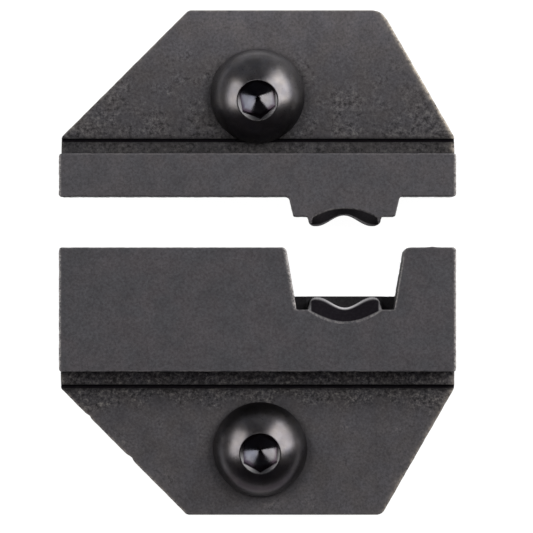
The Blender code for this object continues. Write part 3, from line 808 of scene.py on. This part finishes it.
# Upper tang.
# The moving half's tang, of the same blackened steel and milled like the lower one, with its
# screw nearer to the bar and its left flank a little hollow.
upper_shoulder_y = upper_face_y + upper_bar_height
upper_screw_x, upper_screw_v = 0.0, 0.00554
upper_tang = make_tang(
    "upper_tang", upper_bar_height, upper_face_y, direction=1.0, relief_place=0.00126, seed=22,
    nicks=[(0.0131, 1, 0.0002, 0.00006), (0.0030, -1, 0.0090, 0.00008)],
    hole_x=upper_screw_x, hole_v=upper_screw_v, left_end_x=tang_left,
    # The right flank is rubbed fully: bare edge, partly a painted glint along it.
    end_radii=(0.0005, 0.0017), rubbed=(0.12, 1.00),
    # Painted shade by the shoulder, fading by 8 mm, and painted light at the far end.
    painted_shade_levels=[(0.0, 0.50), (0.00092, 0.50), (0.00106, 0.66), (0.00147, 0.60), (0.0018, 0.24),
              (0.0040, 0.10), (0.0080, 0.0), (0.0139, -0.32)],
    grittiness=[(0.0, 1.2), (0.0018, 0.95), (0.0040, 0.70), (0.0090, 0.50), (0.0112, 0.1),
                (0.0139, -0.3)])
upper_tang.data.materials.append(blackened_steel(
    "upper_tang_blackened_steel", fleck=(0.142, 0.138, 0.136), sizes=(0.0024, 0.00026, 0.00050),
    # The right flank's rubbed line is bare edge painted bright, partly as a glint.
    lines=[rubbed_flank(upper_shoulder_y, 1, 1, tang_right, 0.00036, 0.80),
           rubbed_flank(upper_shoulder_y, 1, -1, tang_left, 0.00020, 0.20)],
    # Painted shadow round the screw head, centred a little below it.
    head_shadow_axis=(upper_screw_x, upper_shoulder_y + upper_screw_v - 0.0004), **tang_finish))
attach(upper_tang, "upper_half")
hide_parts("upper_die")

# Screws.
# Cold-formed alloy steel button heads with a broached hexagon socket, threaded right up under
# the head and finished in smooth black oxide. Each is screwed through its tang into the jaw.
head_radius, head_height, head_flat_radius = 0.00450, 0.00257, 0.00199
rim_height, rim_round = 0.00022, 0.00008
socket_flats, socket_depth, mouth_radius = 0.003175, 0.00150, 0.00191
screw_length, screw_radius = 0.00635, 0.00239
thread_pitch, thread_depth = 0.00079375, 0.00045
screw_seat = 0.00768
screw_crease_angle = math.radians(20)


def make_screw(name, x, y, turn, lean, grime_low, rim_side):
    """Screw as one surface of (angle, profile step), from the socket's apex out over the head
    and down the thread.

    The socket's wall has the radius of a hexagon, half the flats' distance over the cosine of
    the angle from the nearest flat. Its floor is a drilled cone and its mouth a lip that falls
    as the way in to the power 1.25, the dome a sphere through the rim and the flat, and the
    thread a wave whose phase runs with height and angle. The head leans by a shear: it moves
    by lean times its height.
    The cone is polished from the drill, and as painted shade its colour is darker and bluer
    away from its right side. The lip is rubbed by the key, with painted shade at its top, and
    the walls and the cone's outer corner get painted shade too. The fifth argument is painted
    shade on the dome, a little all over and most low down near four fifths of the way out, and
    the sixth is a painted highlight on its rim at the top, or at the bottom where it is negative.
    """
    count = 192
    angle = 2 * np.pi * np.arange(count) / count
    from_flat = (angle + np.pi / 6) % (np.pi / 3) - np.pi / 6
    hexagon = socket_flats / 2 / np.cos(from_flat)
    floor_slope = math.tan(math.radians(22.5))
    apex_z = head_height - socket_depth - 0.00155 * floor_slope
    floor_z = apex_z + hexagon * floor_slope
    lip_width, lip_slope = mouth_radius - hexagon, 0.62
    mouth_z = head_height - lip_width * lip_slope
    rings = []
    marks = {"soot": [], "polish": [], "bare": [], "rim": []}

    def ring(radius, z, **given):
        """One ring of the profile, with the marks given for it and the others 0."""
        rings.append(np.stack(np.broadcast_arrays(radius, z, angle)[:2], 1))
        for mark, values in marks.items():
            values.append(np.broadcast_to(given.get(mark, 0.0), count))

    # Painted shade on the lip's top, and the rim's painted highlight on one side.
    upward = np.sin(angle + turn)
    shaded = np.clip(1.6 * upward + 0.1, 0, 1)
    rim_highlight_share = np.clip(rim_side * upward * 1.5, 0, 1)
    # Painted shade in the cone's outer corner on its lower side.
    for t, grime in ((0.002, 0.0), (0.15, 0.0), (0.4, 0.0), (0.7, 0.0), (0.80, 0.1), (0.87, 0.6),
                     (0.93, 0.9), (1.0, 0.95)):
        ring(hexagon * t, apex_z + (floor_z - apex_z) * t,
             soot=grime * np.clip(-2 * upward, t ** 6, 1),
             polish=0.85 + 0.15 * np.cos(angle + turn))
    for t in (0.02, 0.3, 0.6, 0.95, 1.0):
        # Painted shade down the socket's walls.
        ring(hexagon, floor_z + (mouth_z - floor_z) * t, soot=0.9)
    for t in (0.03, 0.2, 0.4, 0.6, 0.75, 0.87, 0.95, 1.0):
        ring(hexagon + lip_width * t, head_height - lip_width * lip_slope * (1 - t) ** 1.25,
             soot=0.95 * shaded, polish=0.5, bare=(1 - shaded) * (1.0 if t < 1 else 0.2))
    for t in (0.0, 0.3, 0.6, 0.85):
        ring(mouth_radius + 0.00003 + (head_flat_radius - mouth_radius) * t,
             head_height - 0.000004 * t)
    rise = head_height - rim_height
    dome = (rise ** 2 + head_radius ** 2 - head_flat_radius ** 2) / (2 * rise)
    centre = head_height - dome
    sphere = math.sqrt(dome ** 2 + head_flat_radius ** 2)
    first = math.atan2(dome, head_flat_radius)
    last = math.atan2(rim_height - centre, head_radius)
    for a in np.linspace(first, last, 30):
        out = sphere * math.cos(a) / head_radius
        # Painted shade on the dome, most low down; painted highlight near the rim.
        low_grime = math.exp(-((out - 0.80) / 0.11) ** 2) * np.clip(-1.8 * upward - 0.5, 0, 1)
        ring(sphere * math.cos(a), centre + sphere * math.sin(a),
             soot=grime_low * (0.3 + low_grime), rim=rim_highlight_share * np.clip((out - 0.90) / 0.10, 0, 1))
    for t in np.linspace(0.15, 1, 5):
        ring(head_radius + 0.00002 * math.sin(math.pi * t),
             rim_height - (rim_height - rim_round) * t, rim=rim_highlight_share)
    for t in np.linspace(0, math.pi / 2, 5):
        ring(head_radius - rim_round * (1 - math.cos(t)), rim_round * (1 - math.sin(t)))
    for radius in np.linspace(head_radius - 0.0003, screw_radius + 0.00012, 6):
        ring(radius, 0.0)
    for z in np.linspace(-0.00005, -screw_length + 0.00002, 92):
        phase = (z / thread_pitch - angle / (2 * np.pi)) % 1.0
        wave = np.clip(np.abs(phase - 0.5) * 2.6 - 0.25, 0, 1)
        runout = np.clip((-z - 0.0002) / 0.0007, 0, 1)
        tip = np.clip((z + screw_length - 0.00035) / -0.00035, 0, 1)
        ring(screw_radius - thread_depth * wave * runout - 0.00042 * tip * (1 - wave), z,
             # A little painted shade on the thread.
             soot=0.35 * wave.mean())
    for radius in (screw_radius - 0.0006, screw_radius - 0.0012, 0.0003, 0.000004):
        ring(radius, -screw_length)

    radii, heights = np.moveaxis(np.array(rings), -1, 0)
    turned = angle + turn
    shift = -lean * np.maximum(heights, 0)
    points = np.stack([x + radii * np.cos(turned), y + shift + radii * np.sin(turned),
                       screw_seat + heights], -1)
    screw = surface(name, points, marks)
    screw.data.set_sharp_from_angle(angle=screw_crease_angle)
    return screw


def screw_steel():
    """Smooth black oxide: near black, faintly mottled, with a soft gloss and painted shade in the
    socket.

    Reads the marks of the mesh: painted shade, polish for the socket's floor, which also tints it
    darker away from its right side as painted shade, bare for its lip, and a painted highlight
    for the head's edge.
    """
    material, tree, shader, _, grain = start_material("screw_black_oxide",
                                                      (0.0012, 0.00010, 0.00022))
    tone = mixed(tree, grain["Mottle"], (0.078, 0.081, 0.100), (0.126, 0.115, 0.105))
    tone = scaled(tree, tone, remap(tree, grain["Tint"], 0.40, 0.60, 0.86, 1.12))
    # Painted shade: the mark darkens the colour towards near black.
    dark = mixed(tree, mesh_mark(tree, "soot"), tone, (0.026, 0.018, 0.024))
    cone_polish_and_shade = mesh_mark(tree, "polish")
    # Painted shade on the cone: the ramp darkens and blues it away from the right side.
    painted_side_shade = tree.nodes.new("ShaderNodeValToRGB")
    tree.links.new(cone_polish_and_shade, painted_side_shade.inputs["Fac"])
    stops = painted_side_shade.color_ramp.elements
    stops[0].position, stops[0].color = 0.5, (1, 1, 1, 1)
    stops[1].position, stops[1].color = 1.0, (0.80, 0.81, 0.84, 1)
    stops.new(0.7).color = (0.42, 0.45, 0.52, 1)
    dark = mixed(tree, 1.0, dark, painted_side_shade.outputs[0], blend_type="MULTIPLY")
    lip = mesh_mark(tree, "bare")
    lit = mixed(tree, remap(tree, lip, 0.0, 1.0, 0.0, 0.65), dark, (0.048, 0.049, 0.052))
    # Painted highlight on the head's rim: a pale colour.
    edged = mixed(tree, mesh_mark(tree, "rim"), lit, (0.52, 0.51, 0.53))
    tree.links.new(edged, shader.inputs["Base Color"])
    rough = remap(tree, grain["Speckle"], 0.3, 0.7, 0.265, 0.315)
    rough = between(tree, cone_polish_and_shade, rough, 0.13)
    rough = between(tree, lip, rough, 0.36)
    tree.links.new(rough, shader.inputs["Roughness"])
    shader.inputs["Metallic"].default_value = 1.0
    bumps = add_node(tree, "Bump", in_Strength=0.09, in_Distance=0.00002,
                     in_Height=grain["Height"])
    tree.links.new(bumps.outputs[0], shader.inputs["Normal"])
    return material


black_oxide = screw_steel()
upper_screw = make_screw("upper_button_screw", upper_screw_x, upper_shoulder_y + upper_screw_v,
                         turn=math.radians(9), lean=0.19, grime_low=0.25, rim_side=0.30)
lower_screw = make_screw("lower_button_screw", lower_screw_x, lower_shoulder_y - lower_screw_v,
                         turn=math.radians(1), lean=0.155, grime_low=0.60, rim_side=-0.38)
for screw, body, node in ((upper_screw, "upper_fixing", "upper_screw"),
                          (lower_screw, "lower_fixing", "lower_screw")):
    screw.data.materials.append(black_oxide)
    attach(screw, body)
    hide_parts(node)

# Table, light and camera.
# The set lies on a white table that runs out of view. Soft boxes stand above and to both
# sides, and the camera looks straight down at the front faces.
table_half, table_z = 2, -0.00003
table_mesh = bpy.data.meshes.new("table")
table_mesh.from_pydata([(table_half * x, table_half * y, table_z)
                        for x, y in ((-1, -1), (1, -1), (1, 1), (-1, 1))], [], [(0, 1, 2, 3)])
table = bpy.data.objects.new("table", table_mesh)
bpy.context.scene.collection.objects.link(table)
table_paint = bpy.data.materials.new("table_white")
table_paint.use_nodes = True
tree = table_paint.node_tree
shader = tree.nodes["Principled BSDF"]
shader.inputs["Base Color"].default_value = (0.13, 0.13, 0.13, 1)
shader.inputs["Roughness"].default_value = 0.9
shader.inputs["Specular IOR Level"].default_value = 0.0
rays = add_node(tree, "LightPath").outputs
seen = maths(tree, "MAXIMUM", rays["Is Camera Ray"], rays["Is Glossy Ray"])
seen = maths(tree, "MAXIMUM", seen, rays["Is Transmission Ray"])
shader.inputs["Emission Color"].default_value = (1, 1, 1, 1)
tree.links.new(maths(tree, "MULTIPLY", seen, 0.985), shader.inputs["Emission Strength"])
table_mesh.materials.append(table_paint)

scene = bpy.context.scene
world = bpy.data.worlds.new("studio")
scene.world = world
world.use_nodes = True
sky = world.node_tree.nodes["Background"]
sky.inputs["Strength"].default_value = 0.05
sky.inputs["Color"].default_value = (0.95, 0.85, 1.0, 1)
lamp_target = Vector((0, 0, 0.008))


def soft_box(name, place, width, height, watts, colour=(1.0, 0.982, 0.955)):
    """Area lamp at a place, turned toward the middle of the set."""
    lamp = bpy.data.lights.new(name, "AREA")
    lamp.shape = "RECTANGLE"
    lamp.size, lamp.size_y = width, height
    lamp.energy = watts
    lamp.color = colour
    item = bpy.data.objects.new(name, lamp)
    scene.collection.objects.link(item)
    item.location = place
    item.rotation_mode = "QUATERNION"
    item.rotation_quaternion = (lamp_target - Vector(place)).to_track_quat("-Z", "Y")


soft_box("right_box", (0.215, 0.126, 0.168), 0.29, 0.215, 1.20)
soft_box("left_box", (-0.230, 0.070, 0.190), 0.27, 0.145, 0.62)
soft_box("key_box", (0.0, 0.11, 0.30), 0.26, 0.05, 0.14)
soft_box("far_wall", (0.0, 0.42, 0.14), 0.70, 0.26, 0.165, colour=(0.90, 0.95, 1.0))

photo_pixels = 533
metres_per_pixel = 0.00009556
view_distance = 0.750
view_x, view_y = 0.00086, -0.00038
camera_data = bpy.data.cameras.new("camera")
camera_data.sensor_width = 36
camera_data.lens = camera_data.sensor_width * view_distance / (photo_pixels * metres_per_pixel)
camera_data.clip_start = 0.01
camera_data.clip_end = 10
camera = bpy.data.objects.new("camera", camera_data)
scene.collection.objects.link(camera)
camera.location = (view_x, view_y, bar_depth + view_distance)
scene.camera = camera
scene.view_settings.view_transform = "Standard"
